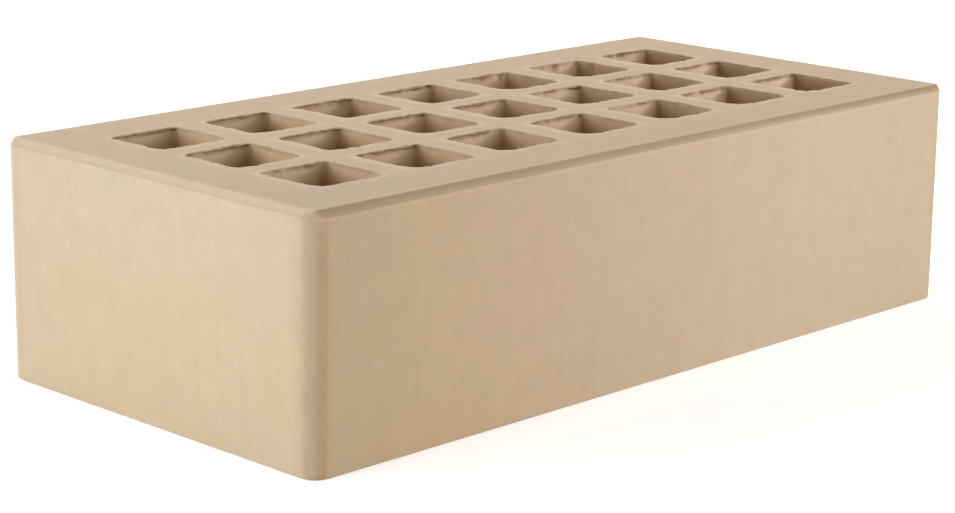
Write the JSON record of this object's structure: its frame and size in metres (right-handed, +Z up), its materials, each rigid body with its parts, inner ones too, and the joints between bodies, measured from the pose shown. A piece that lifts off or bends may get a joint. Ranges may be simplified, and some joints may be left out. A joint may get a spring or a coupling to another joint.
{
  "type": "perforated clay brick",
  "caption": "Wire-cut buff clay facing brick: a rectangular block with rounded upright corners, chamfered upper arrises and a grid of square through perforations, laid in mortar.",
  "frame": {"origin": "centre of the lower bed face, at the middle of the brick's length and width", "axes": "+X along the length (stretcher faces), +Y along the width (header faces), +Z up through the perforations, from the plain bed face to the chamfered one"},
  "size_m": [0.25, 0.12, 0.065],
  "materials": {
    "fired_clay": "matte, sandy, unglazed"
  },
  "bodies": {
    "root": {"brick": "fired_clay"}
  },
  "joints": []
}
